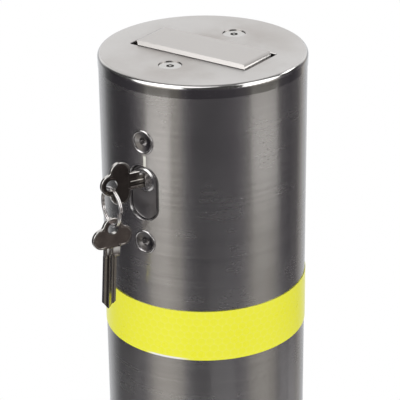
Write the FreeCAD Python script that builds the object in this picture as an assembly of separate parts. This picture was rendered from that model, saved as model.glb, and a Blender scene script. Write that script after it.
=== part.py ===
import FreeCAD, Part
import math
import os

from FreeCAD import Vector

# Removable bollard: a steel tube with a pull-up handle in its cap and a key lock on its side.
# The origin is the middle of the foot's resting face, +Z runs up the post, the lock faces -Y
# and the handle's long side lies along X. All sizes are in millimetres.

# Post and cap
POST_HEIGHT = 1150.0
TUBE_RADIUS = 57.15
TUBE_WALL = 3.0
CAP_OVERHANG = 0.35
CAP_RIM_HEIGHT = 7.0
CAP_SPIGOT_DEPTH = 5.0
CAP_EDGE_ROUND = 2.3
INSIDE_FIT = 0.25

# Reflective tape, measured down from the top face
BAND_TOP_DROP = 131.6
BAND_HEIGHT = 30.2
BAND_THICKNESS = 0.3
BAND_GLUE = 0.05

# Pull-up handle
OPENING_LENGTH = 76.6
OPENING_WIDTH = 30.3
OPENING_CORNER = 0.8
HANDLE_GAP = 0.5
OPENING_CHAMFER = 0.3
HANDLE_PROUD = 1.9
HANDLE_THICKNESS = 5.0
HANDLE_END_ROUND = 3.6
HANDLE_SIDE_BEVEL = 1.8
HANDLE_CORNER = 0.8
HANDLE_CORNER_CUT = 4.6
HANDLE_STROKE = 40.0
CROSSHEAD_HEIGHT = 8.0
CROSSHEAD_WIDTH = 22.0
STROKE_RESERVE = 1.0

# Guide channels under the cap
CHANNEL_WALL = 3.5
CHANNEL_GAP = 0.3
CHANNEL_LIP = 8.0
CHANNEL_EAR_LENGTH = 9.0
CHANNEL_EAR_WIDTH = 11.0
CHANNEL_EAR_THICKNESS = 4.0

# Screws
CAP_SCREW_HEAD = 6.35
CAP_SCREW_PLACE = 30.3
CAP_SCREW_LENGTH = 20.0
CAP_SCREW_SINK = 0.5
SIDE_SCREW_HEAD = 6.9
SIDE_SCREW_LENGTH = 18.0
SCREW_LIP_RADIUS = 0.7
SCREW_LIP_INSET = 0.75
SCREW_DISH_RADIUS = 2.6
SCREW_DISH_DEPTH = 0.6
SCREW_RIM = 0.4
SCREW_EDGE = 0.2
SIDE_SCREW_DROPS = (35.1, 93.5)
SIDE_SCREW_ANGLE = -89.5
M6_RADIUS = 3.0
M5_RADIUS = 2.5
CROSSHEAD_SCREW_HEAD = 4.75
CROSSHEAD_SCREW_LENGTH = 14.0
CHANNEL_SCREW_HEAD = 4.25
CHANNEL_SCREW_HEAD_HEIGHT = 5.0
CHANNEL_SCREW_LENGTH = 10.0
SOCKET_FLATS = 4.0
SOCKET_DEPTH = 2.4
SOCKET_PIN_RADIUS = 0.75
SCREW_CLEARANCE = 0.12
LUG_DEPTH = 12.0
LUG_HALF_WIDTH = 10.0
LUG_INNER_EDGE = 24.0

# Lock: an oval cylinder set at a slant so that its cam passes beside the lifting rod
LOCK_YAW = 26.0
LOCK_SHIFT = -0.6
LOCK_AXIS_DROP = 57.3
OVAL_HEIGHT = 31.0
OVAL_WIDTH = 16.1
OVAL_GAP = 0.45
OVAL_EDGE = 0.35
OVAL_SINK = 1.2
LOCK_FACE_TURN = 5.0
EDGE_SAMPLES = 9
SAME_PLACE = 0.001
OVAL_FRONT = 12.0
OVAL_WINDOW_DEPTH = 18.0
LOCK_DEPTH = 33.0
CASE_ABOVE = 30.5
CASE_BELOW = 44.0
CASE_LEFT = 10.5
CASE_RIGHT = 16.0
CASE_SEAT = 0.15
PLUG_RADIUS = 6.9
PLUG_RUNNING_FIT = 0.05
PLUG_SINK = 0.6
PLUG_EDGE = 0.9
PLUG_TAIL = 1.0
TAIL_SQUARE = 6.0
CAM_THICKNESS = 3.0
CAM_HUB_RADIUS = 7.5
CAM_TIP_RADIUS = 5.0
CAM_REACH = 17.0
CAM_GAP = 0.3
CAM_SCREW_RADIUS = 1.5
CAM_SCREW_HEAD = 3.5
CAM_SCREW_HEAD_HEIGHT = 2.4
CAM_SCREW_LENGTH = 6.0

# Keys and ring
KEY_THICKNESS = 2.3
KEY_NECK_WIDTH = 9.8
KEY_NECK_END = 1.4
KEY_BLADE_LENGTH = 28.9
KEY_BLADE_WIDTH = 7.6
KEY_BLADE_THICKNESS = 2.0
KEY_TIP_LENGTH = 3.7
KEY_TIP_ACROSS = 3.0
KEY_LOBE_RADIUS = 5.9
KEY_LOBE_OUT = 6.3
KEY_LOBE_ALONG = 12.8
KEY_BASE_DIP = 0.3
KEY_BOW_OFFSET = 1.1
KEY_EYE_RADIUS = 6.1
KEY_EYE_ALONG = 18.2
KEY_HOLE_RADIUS = 3.3
KEY_WAIST_ROUND = 2.0
KEY_RIM_WIDTH = 0.9
KEY_POCKET_DEPTH = 0.3
KEY_EDGE_ROUND = 0.5
KEY_GROOVE_WIDTH = 1.5
KEY_GROOVE_DEPTH = 0.5
KEY_GROOVE_APART = 3.2
KEYWAY_GAP = 0.25
KEY_SEAT = 0.3
RING_RADIUS = 10.5
RING_WIRE = 1.0
RING_SLACK = 0.3
SPARE_KEY_TWIST = 5.0
SPARE_KEY_LEAN = 3.5

# Lifting rod and locking disc
ROD_RADIUS = 5.0
NUT_FLATS = 16.0
NUT_HEIGHT = 8.0
ROD_BEYOND_NUT = 1.5
DISC_RADIUS = 21.5
DISC_THICKNESS = 5.0
DISC_GAP = 1.6

# Rod guides, return spring and clevis
GUIDE_PLATE_THICKNESS = 6.0
UPPER_GUIDE_DROP = 260.0
BUSH_WALL = 3.0
BUSH_FLANGE = 2.0
BUSH_FLANGE_RADIUS = 12.0
BUSH_RUNNING_FIT = 0.08
SPRING_LENGTH = 90.0
SPRING_RADIUS = 10.5
SPRING_WIRE = 1.2
SPRING_TURNS = 9
COLLAR_RADIUS = 14.0
COLLAR_HEIGHT = 9.0
COLLAR_ABOVE_CLEVIS = 8.0
COLLAR_PIN_RADIUS = 2.0
CLEVIS_RADIUS = 12.0
CLEVIS_HEIGHT = 34.0
CLEVIS_SLOT_DEPTH = 20.0
CLEVIS_PIN_RADIUS = 3.0
ROD_IN_CLEVIS = 12.0

# Foot bolts and the cam plate that draws them in
BOLT_HEIGHT = 100.0
BOLT_RADIUS = 7.0
BOLT_NOSE_RADIUS = 6.0
BOLT_NOSE_START = 57.4
BOLT_TIP = 70.0
BOLT_NOSE_CHAMFER = 1.5
BOLT_STROKE = 14.0
BOLT_PIN_RADIUS = 3.0
BOLT_PIN_PLACE = 23.0
BOLT_PIN_HALF_LENGTH = 6.1
BOLT_INNER_END = 16.0
BOLT_FORK_END = 34.0
BOLT_RUNNING_FIT = 0.08
BOLT_WINDOW_GAP = 0.4
CAM_PLATE_THICKNESS = 6.0
CAM_PLATE_SIDE_GAP = 0.3
CAM_PLATE_MARGIN = 8.0
CAM_PLATE_ABOVE = 12.0
CAM_NECK_HALF_WIDTH = 8.0
CAM_SLOT_GAP = 0.15
CARRIER_HEIGHT = 28.0
CARRIER_SLOT_HALF_LENGTH = 36.0
CARRIER_DRAIN_RADIUS = 9.0
CARRIER_DRAIN_PLACE = 30.0

# Foot plug
LAND_RADIUS = 52.0
LAND_HEIGHT = 22.0
LAND_CHAMFER = 2.0
FLANGE_HEIGHT = 6.0
PLUG_SPIGOT_HEIGHT = 16.0
PLUG_WALL = 8.0
DRAIN_RADIUS = 5.0
DRAIN_CIRCLE = 25.0
DRAIN_COUNT = 3

# Places worked out from the sizes above
UP = Vector(0, 0, 1)
TUBE_BORE = TUBE_RADIUS - TUBE_WALL
INSERT_RADIUS = TUBE_BORE - INSIDE_FIT
CAP_RADIUS = TUBE_RADIUS + CAP_OVERHANG
TUBE_TOP = POST_HEIGHT - CAP_RIM_HEIGHT
CAP_UNDERSIDE = TUBE_TOP - CAP_SPIGOT_DEPTH
TUBE_BOTTOM = LAND_HEIGHT + FLANGE_HEIGHT
HANDLE_HALF_LENGTH = OPENING_LENGTH / 2 - HANDLE_GAP
HANDLE_HALF_WIDTH = OPENING_WIDTH / 2 - HANDLE_GAP
HANDLE_TOP = POST_HEIGHT + HANDLE_PROUD
LEG_INNER = HANDLE_HALF_LENGTH - HANDLE_THICKNESS
CROSSHEAD_TOP = CAP_UNDERSIDE - HANDLE_STROKE - STROKE_RESERVE
CROSSHEAD_BOTTOM = CROSSHEAD_TOP - CROSSHEAD_HEIGHT
LOCK_HEIGHT = POST_HEIGHT - LOCK_AXIS_DROP
LOCK_OUT = Vector(-math.sin(math.radians(LOCK_YAW)), -math.cos(math.radians(LOCK_YAW)), 0)
LOCK_RIGHT = UP.cross(LOCK_OUT)
LOCK_FACE = Vector(0, -TUBE_RADIUS, LOCK_HEIGHT) + LOCK_RIGHT * LOCK_SHIFT
CAM_TOP_DEPTH = LOCK_DEPTH + PLUG_TAIL + CAM_GAP
CAM_BACK_DEPTH = CAM_TOP_DEPTH + CAM_THICKNESS
DISC_TOP = LOCK_HEIGHT - CAM_TIP_RADIUS - DISC_GAP
DISC_BOTTOM = DISC_TOP - DISC_THICKNESS
ROD_TOP = CROSSHEAD_TOP + NUT_HEIGHT + ROD_BEYOND_NUT
CLEVIS_BOTTOM = BOLT_HEIGHT + CARRIER_HEIGHT / 2 + 6.0
CLEVIS_TOP = CLEVIS_BOTTOM + CLEVIS_HEIGHT
COLLAR_BOTTOM = CLEVIS_TOP + COLLAR_ABOVE_CLEVIS
COLLAR_TOP = COLLAR_BOTTOM + COLLAR_HEIGHT
SPRING_TOP = COLLAR_TOP + SPRING_LENGTH
LOWER_GUIDE_BOTTOM = SPRING_TOP + BUSH_FLANGE
UPPER_GUIDE_BOTTOM = POST_HEIGHT - UPPER_GUIDE_DROP
CAM_SLOPE = BOLT_STROKE / HANDLE_STROKE
CARRIER_BOTTOM = BOLT_HEIGHT - CARRIER_HEIGHT / 2
PLUG_SCREW_HEIGHT = TUBE_BOTTOM + PLUG_SPIGOT_HEIGHT / 2


def disc(radius, low, high, x=0.0, y=0.0):
    """An upright cylinder between two heights."""
    return Part.makeCylinder(radius, high - low, Vector(x, y, low))


def block(x_low, x_high, y_low, y_high, z_low, z_high):
    """A box given by its two limits along each axis."""
    return Part.makeBox(x_high - x_low, y_high - y_low, z_high - z_low, Vector(x_low, y_low, z_low))


def upright_edges(shape):
    """The straight edges that run along Z."""
    found = []
    for edge in shape.Edges:
        start, end = edge.Vertexes[0].Point, edge.Vertexes[-1].Point
        if isinstance(edge.Curve, Part.Line) and abs(end.x - start.x) + abs(end.y - start.y) < 1e-6:
            found.append(edge)
    return found


def frame_at(origin, outward, upward):
    """A placement whose own Z points outward and whose own Y points upward."""
    turn = FreeCAD.Rotation(upward.cross(outward), upward, outward, "ZYX")
    return FreeCAD.Placement(origin, turn)


def placed(shape, placement):
    """A copy of a shape moved from its own frame to its place on the post."""
    copy = shape.copy()
    copy.Placement = placement.multiply(copy.Placement)
    return copy


def prism(face, height):
    """A flat face in the XY plane pushed up along Z."""
    return face.extrude(Vector(0, 0, height))


def polygon(points):
    """A flat face through points in the XY plane."""
    return Part.Face(Part.makePolygon([Vector(*p, 0) for p in points + points[:1]]))


def hexagon(flats):
    """A six-sided face given by its width across flats."""
    corner = flats / math.sqrt(3)
    return polygon([(corner * math.cos(math.radians(60 * i)), corner * math.sin(math.radians(60 * i)))
                    for i in range(6)])


def slot_face(half_width, start, end):
    """A face of constant width with round ends, between two centres in the XY plane."""
    along = (end - start).normalize()
    side = Vector(-along.y, along.x, 0) * half_width
    wire = Part.Wire([
        Part.LineSegment(start - side, end - side).toShape(),
        Part.Arc(end - side, end + along * half_width, end + side).toShape(),
        Part.LineSegment(end + side, start + side).toShape(),
        Part.Arc(start + side, start - along * half_width, start - side).toShape(),
    ])
    return Part.Face(wire)


def countersunk_screw(head_radius, shank_radius, length):
    """A flat-headed screw with a pin-in-socket drive; its face is at z = 0 and it runs down."""
    rim = SCREW_RIM
    cone = head_radius - shank_radius
    head = Part.makeCylinder(head_radius, rim, Vector(0, 0, -rim))
    head = head.makeChamfer(SCREW_EDGE, [e for e in head.Edges if e.CenterOfMass.z > -rim / 4])
    taper = Part.makeCone(shank_radius, head_radius, cone, Vector(0, 0, -rim - cone))
    shank = Part.makeCylinder(shank_radius, length - rim - cone, Vector(0, 0, -length))
    screw = head.fuse([taper, shank]).removeSplitter()
    socket = prism(hexagon(SOCKET_FLATS), SOCKET_DEPTH)
    socket.translate(Vector(0, 0, -SOCKET_DEPTH))
    pin = Part.makeCylinder(SOCKET_PIN_RADIUS, SOCKET_DEPTH, Vector(0, 0, -SOCKET_DEPTH))
    return screw.cut(socket.cut(pin))


def countersunk_hole(head_radius, shank_radius, length):
    """The room that the same screw needs, a little larger all round and open above."""
    gap = SCREW_CLEARANCE
    rim = SCREW_RIM
    cone = head_radius - shank_radius
    head = Part.makeCylinder(head_radius + gap, rim + head_radius, Vector(0, 0, -rim - gap))
    taper = Part.makeCone(shank_radius + gap, head_radius + gap, cone, Vector(0, 0, -rim - gap - cone))
    shank = Part.makeCylinder(shank_radius + gap, length + gap - rim - cone, Vector(0, 0, -length - gap))
    return head.fuse([taper, shank]).removeSplitter()


def socket_screw(head_radius, shank_radius, head_height, length):
    """A cylinder-head screw: the head's seat is at z = 0, the shank runs up and the head down."""
    head = Part.makeCylinder(head_radius, head_height, Vector(0, 0, -head_height))
    shank = Part.makeCylinder(shank_radius, length)
    socket = prism(hexagon(head_radius), head_height * 0.6)
    socket.translate(Vector(0, 0, -head_height))
    return head.fuse(shank).removeSplitter().cut(socket)


def radial_places(height, angles, radius):
    """Placements on the tube's outside, pointing outward, one for each angle."""
    places = []
    for angle in angles:
        out = Vector(math.cos(math.radians(angle)), math.sin(math.radians(angle)), 0)
        places.append(frame_at(out * radius + Vector(0, 0, height), out, UP))
    return places


def cap_screw_places():
    """The two screws stand a little sunk in the cap's top face, before and behind the handle."""
    return [FreeCAD.Placement(Vector(0, y, POST_HEIGHT - CAP_SCREW_SINK), FreeCAD.Rotation())
            for y in (-CAP_SCREW_PLACE, CAP_SCREW_PLACE)]


def side_screw_places():
    """The two screws that hold the lock case, above and below the oval, facing -Y."""
    sink = SIDE_SCREW_HEAD ** 2 / (2 * TUBE_RADIUS)
    return [radial_places(POST_HEIGHT - drop, (SIDE_SCREW_ANGLE,), TUBE_RADIUS - sink)[0]
            for drop in SIDE_SCREW_DROPS]


def foot_screw_places(height):
    """Two screws through the tube, front and back, at a height near the foot."""
    sink = SIDE_SCREW_HEAD ** 2 / (2 * TUBE_RADIUS)
    return radial_places(height, (-90, 90), TUBE_RADIUS - sink)


def lock_frame():
    """The lock's own frame: Z out along the key, X to the right, Y up, origin on the tube's face."""
    return frame_at(LOCK_FACE, LOCK_OUT, UP)


def tube_screw():
    return countersunk_screw(SIDE_SCREW_HEAD, M6_RADIUS, SIDE_SCREW_LENGTH)


def lipped_screw():
    """A tube screw whose head has a rounded lip standing round a shallow dish."""
    lip_middle = Vector(0, 0, SCREW_LIP_RADIUS - SCREW_RIM)
    lip = Part.makeTorus(SIDE_SCREW_HEAD - SCREW_LIP_INSET, SCREW_LIP_RADIUS, lip_middle)
    above = Part.makeCylinder(SIDE_SCREW_HEAD, 2 * SCREW_LIP_RADIUS, Vector(0, 0, -SCREW_EDGE / 2))
    dish = Part.makeCone(SCREW_DISH_RADIUS, SIDE_SCREW_HEAD - 2 * SCREW_LIP_INSET, SCREW_DISH_DEPTH,
                         Vector(0, 0, -SCREW_DISH_DEPTH))
    return tube_screw().fuse(lip.common(above)).removeSplitter().cut(dish)


def tube_screw_hole():
    return countersunk_hole(SIDE_SCREW_HEAD, M6_RADIUS, SIDE_SCREW_LENGTH)


def oval_prism(gap, front, back):
    """The lock's oval section in its own frame, from one depth to another behind the tube's face."""
    radius = OVAL_WIDTH / 2
    low = Vector(0, -(OVAL_HEIGHT - OVAL_WIDTH), 0)
    shape = prism(slot_face(radius + gap, low, Vector(0, 0, 0)), back - front)
    shape.translate(Vector(0, 0, -back))
    return placed(shape, lock_frame())


def make_post_tube():
    tube = disc(TUBE_RADIUS, TUBE_BOTTOM, TUBE_TOP).cut(disc(TUBE_BORE, TUBE_BOTTOM, TUBE_TOP))
    tube = tube.cut(oval_prism(OVAL_GAP, -OVAL_FRONT, OVAL_WINDOW_DEPTH))
    for place in side_screw_places():
        tube = tube.cut(placed(tube_screw_hole(), place))
    for height in (BOLT_HEIGHT, PLUG_SCREW_HEIGHT):
        for place in foot_screw_places(height):
            tube = tube.cut(placed(tube_screw_hole(), place))
    window = Part.makeCylinder(BOLT_RADIUS + BOLT_WINDOW_GAP, 2 * CAP_RADIUS,
                               Vector(-CAP_RADIUS, 0, BOLT_HEIGHT), Vector(1, 0, 0))
    return tube.cut(window)


def make_cap_plate():
    rim = disc(CAP_RADIUS, TUBE_TOP, POST_HEIGHT)
    top_edge = [e for e in rim.Edges if isinstance(e.Curve, Part.Circle) and e.Vertexes[0].Z > TUBE_TOP + 1]
    rim = rim.makeFillet(CAP_EDGE_ROUND, top_edge)
    cap = rim.fuse(disc(INSERT_RADIUS, CAP_UNDERSIDE, TUBE_TOP)).removeSplitter()
    opening = block(-OPENING_LENGTH / 2, OPENING_LENGTH / 2, -OPENING_WIDTH / 2, OPENING_WIDTH / 2,
                    CAP_UNDERSIDE - 1, POST_HEIGHT + 1)
    cap = cap.cut(opening.makeFillet(OPENING_CORNER, upright_edges(opening)))
    for place in cap_screw_places():
        cap = cap.cut(placed(countersunk_hole(CAP_SCREW_HEAD, M6_RADIUS, CAP_SCREW_LENGTH), place))
    hole = Part.makeCylinder(M5_RADIUS + SCREW_CLEARANCE, CHANNEL_SCREW_LENGTH + INSIDE_FIT)
    for place in channel_screw_places():
        cap = cap.cut(placed(hole, place))
    top_edges = [e for e in cap.Edges if e.CenterOfMass.z > POST_HEIGHT - 1e-6]
    mouth = [e for e in top_edges if abs(e.CenterOfMass.y) < OPENING_WIDTH and e.Length < 2 * OPENING_LENGTH]
    return cap.makeChamfer(OPENING_CHAMFER, mouth)


def make_cap_screws():
    screw = countersunk_screw(CAP_SCREW_HEAD, M6_RADIUS, CAP_SCREW_LENGTH)
    return Part.makeCompound([placed(screw, place) for place in cap_screw_places()])


def make_cap_lug(side):
    """A tapped block welded inside the tube under each cap screw; side is -1 in front, 1 behind."""
    low, high = sorted((side * LUG_INNER_EDGE, side * TUBE_RADIUS))
    lug = block(-LUG_HALF_WIDTH, LUG_HALF_WIDTH, low, high, CAP_UNDERSIDE - LUG_DEPTH, CAP_UNDERSIDE)
    lug = lug.common(disc(INSERT_RADIUS, CAP_UNDERSIDE - LUG_DEPTH, CAP_UNDERSIDE))
    hole = Part.makeCylinder(M6_RADIUS + SCREW_CLEARANCE, LUG_DEPTH + 2,
                             Vector(0, side * CAP_SCREW_PLACE, CAP_UNDERSIDE - LUG_DEPTH - 1))
    return lug.cut(hole)


def make_lift_handle():
    """An upside-down U of flat bar: its back fills the cap's opening and its legs run inside."""
    body = block(-HANDLE_HALF_LENGTH, HANDLE_HALF_LENGTH, -HANDLE_HALF_WIDTH, HANDLE_HALF_WIDTH,
                 CROSSHEAD_BOTTOM, HANDLE_TOP)
    cut_corners = [e for e in upright_edges(body) if e.CenterOfMass.x * e.CenterOfMass.y > 0]
    whole_corners = [e for e in upright_edges(body) if e.CenterOfMass.x * e.CenterOfMass.y < 0]
    corner_places = [e.CenterOfMass for e in whole_corners]
    body = body.makeChamfer(HANDLE_CORNER_CUT, cut_corners)
    body = body.makeFillet(HANDLE_CORNER, [e for e in upright_edges(body)
                                           if any(e.CenterOfMass.isEqual(p, 1e-6) for p in corner_places)])
    body = round_handle_back(body)
    inside = block(-LEG_INNER, LEG_INNER, -OPENING_WIDTH, OPENING_WIDTH,
                   CROSSHEAD_BOTTOM - 1, HANDLE_TOP - HANDLE_THICKNESS)
    inner_edges = [e for e in inside.Edges if abs(e.CenterOfMass.z - (HANDLE_TOP - HANDLE_THICKNESS)) < 1e-6
                   and abs(abs(e.CenterOfMass.x) - LEG_INNER) < 1e-6]
    handle = body.cut(inside.makeFillet(HANDLE_END_ROUND, inner_edges))
    for place in crosshead_screw_places():
        handle = handle.cut(placed(crosshead_screw_hole(), place))
    return handle


def round_handle_back(body):
    """Rounds the handle's top: a wide round at both ends and a flat bevel along the sides."""
    ends = block(-HANDLE_HALF_LENGTH, HANDLE_HALF_LENGTH, -OPENING_WIDTH, OPENING_WIDTH,
                 CROSSHEAD_BOTTOM, HANDLE_TOP)
    ends = ends.makeFillet(HANDLE_END_ROUND, [e for e in ends.Edges if e.CenterOfMass.z > HANDLE_TOP - 0.1
                                              and abs(e.CenterOfMass.x) > HANDLE_HALF_LENGTH - 0.1])
    sides = block(-OPENING_LENGTH, OPENING_LENGTH, -HANDLE_HALF_WIDTH, HANDLE_HALF_WIDTH,
                  CROSSHEAD_BOTTOM, HANDLE_TOP)
    sides = sides.makeChamfer(HANDLE_SIDE_BEVEL, [e for e in sides.Edges
                                                 if e.CenterOfMass.z > HANDLE_TOP - 0.1
                                                 and abs(e.CenterOfMass.y) > HANDLE_HALF_WIDTH - 0.1])
    return body.common(ends).common(sides)


def crosshead_screw_places():
    """One screw through each leg into the crosshead's end."""
    middle = (CROSSHEAD_TOP + CROSSHEAD_BOTTOM) / 2
    return radial_places(middle, (180, 0), HANDLE_HALF_LENGTH)


def crosshead_screw_hole():
    return countersunk_hole(CROSSHEAD_SCREW_HEAD, M5_RADIUS, CROSSHEAD_SCREW_LENGTH)


def make_crosshead_screws():
    screw = countersunk_screw(CROSSHEAD_SCREW_HEAD, M5_RADIUS, CROSSHEAD_SCREW_LENGTH)
    return Part.makeCompound([placed(screw, place) for place in crosshead_screw_places()])


def make_handle_crosshead():
    half = CROSSHEAD_WIDTH / 2
    bar = block(-LEG_INNER, LEG_INNER, -half, half, CROSSHEAD_BOTTOM, CROSSHEAD_TOP)
    bar = bar.cut(disc(ROD_RADIUS + INSIDE_FIT, CROSSHEAD_BOTTOM - 1, CROSSHEAD_TOP + 1))
    for place in crosshead_screw_places():
        bar = bar.cut(placed(crosshead_screw_hole(), place))
    return bar


def channel_screw_places():
    """The screws of the guide channels' ears go up into the cap, two for each channel."""
    seat = CAP_UNDERSIDE - CHANNEL_EAR_THICKNESS
    x = HANDLE_HALF_LENGTH + CHANNEL_GAP - CHANNEL_EAR_WIDTH / 2
    y = HANDLE_HALF_WIDTH + CHANNEL_GAP + CHANNEL_WALL + CHANNEL_EAR_LENGTH / 2
    return [FreeCAD.Placement(Vector(x_side * x, y_side * y, seat), FreeCAD.Rotation())
            for x_side in (-1, 1) for y_side in (-1, 1)]


def make_guide_channel(side):
    """A channel that guides one leg of the handle; side is -1 on the left, 1 on the right."""
    inner = HANDLE_HALF_LENGTH + CHANNEL_GAP
    outer = inner + CHANNEL_WALL
    half = HANDLE_HALF_WIDTH + CHANNEL_GAP
    low = CROSSHEAD_BOTTOM - STROKE_RESERVE
    channel = block(inner - CHANNEL_LIP, outer, -half - CHANNEL_WALL, half + CHANNEL_WALL,
                    low, CAP_UNDERSIDE)
    outer_corners = [e for e in upright_edges(channel) if e.CenterOfMass.x > outer - 1]
    channel = channel.makeFillet(CHANNEL_WALL, outer_corners)
    channel = channel.cut(block(inner - CHANNEL_LIP - 1, inner, -half, half, low - 1, CAP_UNDERSIDE + 1))
    wall_middle = half + CHANNEL_WALL / 2
    ear_end = half + CHANNEL_WALL + CHANNEL_EAR_LENGTH
    ear_low = CAP_UNDERSIDE - CHANNEL_EAR_THICKNESS
    ears = [block(inner - CHANNEL_EAR_WIDTH, inner, y_low, y_high, ear_low, CAP_UNDERSIDE)
            for y_low, y_high in ((-ear_end, -wall_middle), (wall_middle, ear_end))]
    channel = channel.fuse(ears).removeSplitter()
    if side < 0:
        channel = channel.mirror(Vector(0, 0, 0), Vector(1, 0, 0))
    hole = Part.makeCylinder(M5_RADIUS + SCREW_CLEARANCE, 2 * CHANNEL_EAR_THICKNESS)
    hole.translate(Vector(0, 0, -1))
    for place in channel_screw_places():
        channel = channel.cut(placed(hole, place))
    return channel


def make_channel_screws():
    screw = socket_screw(CHANNEL_SCREW_HEAD, M5_RADIUS, CHANNEL_SCREW_HEAD_HEIGHT, CHANNEL_SCREW_LENGTH)
    return Part.makeCompound([placed(screw, place) for place in channel_screw_places()])


def make_lift_rod():
    rod = disc(ROD_RADIUS, CLEVIS_TOP - ROD_IN_CLEVIS, ROD_TOP)
    pin = Part.makeCylinder(COLLAR_PIN_RADIUS, 4 * ROD_RADIUS,
                            Vector(0, -2 * ROD_RADIUS, (COLLAR_BOTTOM + COLLAR_TOP) / 2), Vector(0, 1, 0))
    return rod.cut(pin)


def make_rod_nuts():
    """One nut above the crosshead and one under the locking disc clamp the stack on the rod."""
    nuts = []
    for low in (CROSSHEAD_TOP, DISC_BOTTOM - NUT_HEIGHT):
        nut = prism(hexagon(NUT_FLATS), NUT_HEIGHT)
        nut.translate(Vector(0, 0, low))
        dome = Part.makeCone(NUT_FLATS / 2 - 0.5, NUT_FLATS / 2 + NUT_HEIGHT, NUT_HEIGHT + 0.5,
                             Vector(0, 0, low))
        other = Part.makeCone(NUT_FLATS / 2 + NUT_HEIGHT, NUT_FLATS / 2 - 0.5, NUT_HEIGHT + 0.5,
                              Vector(0, 0, low - 0.5))
        nuts.append(nut.common(dome).common(other).cut(disc(ROD_RADIUS, low - 1, low + NUT_HEIGHT + 1)))
    return Part.makeCompound(nuts)


def make_disc_spacer():
    return disc(ROD_RADIUS + 5, DISC_TOP, CROSSHEAD_BOTTOM).cut(
        disc(ROD_RADIUS + INSIDE_FIT, DISC_TOP - 1, CROSSHEAD_BOTTOM + 1))


def make_locking_disc():
    plate = disc(DISC_RADIUS, DISC_BOTTOM, DISC_TOP)
    rims = [e for e in plate.Edges if isinstance(e.Curve, Part.Circle)]
    return plate.makeChamfer(0.6, rims).cut(disc(ROD_RADIUS + INSIDE_FIT, DISC_BOTTOM - 1, DISC_TOP + 1))


def make_lock_case():
    """A solid block inside the tube that holds the oval cylinder and takes the two side screws."""
    body = block(-CASE_LEFT, CASE_RIGHT, -CASE_BELOW, CASE_ABOVE, -LOCK_DEPTH, TUBE_RADIUS)
    body = placed(body, lock_frame())
    inside = disc(TUBE_BORE - CASE_SEAT, 0, POST_HEIGHT)
    case = body.common(inside).cut(oval_prism(PLUG_RUNNING_FIT, -TUBE_RADIUS, LOCK_DEPTH + 1))
    for place in side_screw_places():
        case = case.cut(placed(tube_screw_hole(), place))
    return case


def make_side_screws():
    return Part.makeCompound([placed(lipped_screw(), place) for place in side_screw_places()])


def lock_plane(sink):
    """The plane of the lock's flat face, which looks a little to the left of straight out."""
    out = FreeCAD.Rotation(UP, -LOCK_FACE_TURN).multVec(Vector(0, -1, 0))
    return frame_at(LOCK_FACE - out * sink, out, UP)


def cut_flat(shape, plane, edge):
    """Cuts a shape off at a plane and chamfers the edges that lie in it."""
    size = 2 * TUBE_RADIUS
    kept = shape.common(placed(block(-size, size, -size, size, -size, 0), plane))
    level = plane.inverse()
    rim = [e for e in kept.Edges
           if all(abs(level.multVec(point).z) < SAME_PLACE for point in e.discretize(EDGE_SAMPLES))]
    return kept.makeChamfer(edge, rim)


def make_oval_cylinder():
    """The lock's body: its flat face lies in the tube's window and the plug turns in its upper round."""
    body = cut_flat(oval_prism(0.0, -OVAL_FRONT, LOCK_DEPTH), lock_plane(OVAL_SINK), OVAL_EDGE)
    bore = Part.makeCylinder(PLUG_RADIUS + PLUG_RUNNING_FIT, LOCK_DEPTH + OVAL_FRONT,
                             Vector(0, 0, -LOCK_DEPTH - 1))
    return body.cut(placed(bore, lock_frame()))


def make_lock_plug():
    """The round plug: while the lock is open its flat face stands a little out of the oval's."""
    back = LOCK_DEPTH + PLUG_TAIL
    plug = Part.makeCylinder(PLUG_RADIUS, back + OVAL_FRONT, Vector(0, 0, -back))
    half = TAIL_SQUARE / 2
    tail = block(-half, half, -half, half, -CAM_BACK_DEPTH, -back)
    plug = cut_flat(placed(plug.fuse(tail), lock_frame()), lock_plane(PLUG_SINK), PLUG_EDGE)
    half_thickness = KEY_BLADE_THICKNESS / 2 + KEYWAY_GAP
    half_width = KEY_BLADE_WIDTH / 2 + KEYWAY_GAP
    keyway_depth = KEY_BLADE_LENGTH + KEYWAY_GAP - KEY_SEAT
    keyway = block(-half_thickness, half_thickness, -half_width, half_width, -keyway_depth, OVAL_FRONT)
    screw_hole = Part.makeCylinder(CAM_SCREW_RADIUS + SCREW_CLEARANCE, CAM_SCREW_LENGTH,
                                   Vector(0, 0, -CAM_BACK_DEPTH))
    return plug.cut([placed(keyway, lock_frame()), placed(screw_hole, lock_frame())])


def make_lock_cam():
    """A tongue on the plug's tail: at rest it points up, and turned to the left it bars the disc's way."""
    hub = Part.makeCylinder(CAM_HUB_RADIUS, CAM_THICKNESS)
    tip = Part.makeCylinder(CAM_TIP_RADIUS, CAM_THICKNESS, Vector(0, CAM_REACH, 0))
    web = prism(polygon([(CAM_HUB_RADIUS, 0), (CAM_TIP_RADIUS, CAM_REACH),
                         (-CAM_TIP_RADIUS, CAM_REACH), (-CAM_HUB_RADIUS, 0)]), CAM_THICKNESS)
    cam = hub.fuse([tip, web]).removeSplitter()
    half = TAIL_SQUARE / 2 + KEYWAY_GAP / 2
    cam = cam.cut(block(-half, half, -half, half, -1, CAM_THICKNESS + 1))
    cam.translate(Vector(0, 0, -CAM_BACK_DEPTH))
    return placed(cam, lock_frame())


def make_cam_screw():
    screw = socket_screw(CAM_SCREW_HEAD, CAM_SCREW_RADIUS, CAM_SCREW_HEAD_HEIGHT, CAM_SCREW_LENGTH - 0.5)
    screw.translate(Vector(0, 0, -CAM_BACK_DEPTH))
    return placed(screw, lock_frame())


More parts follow.
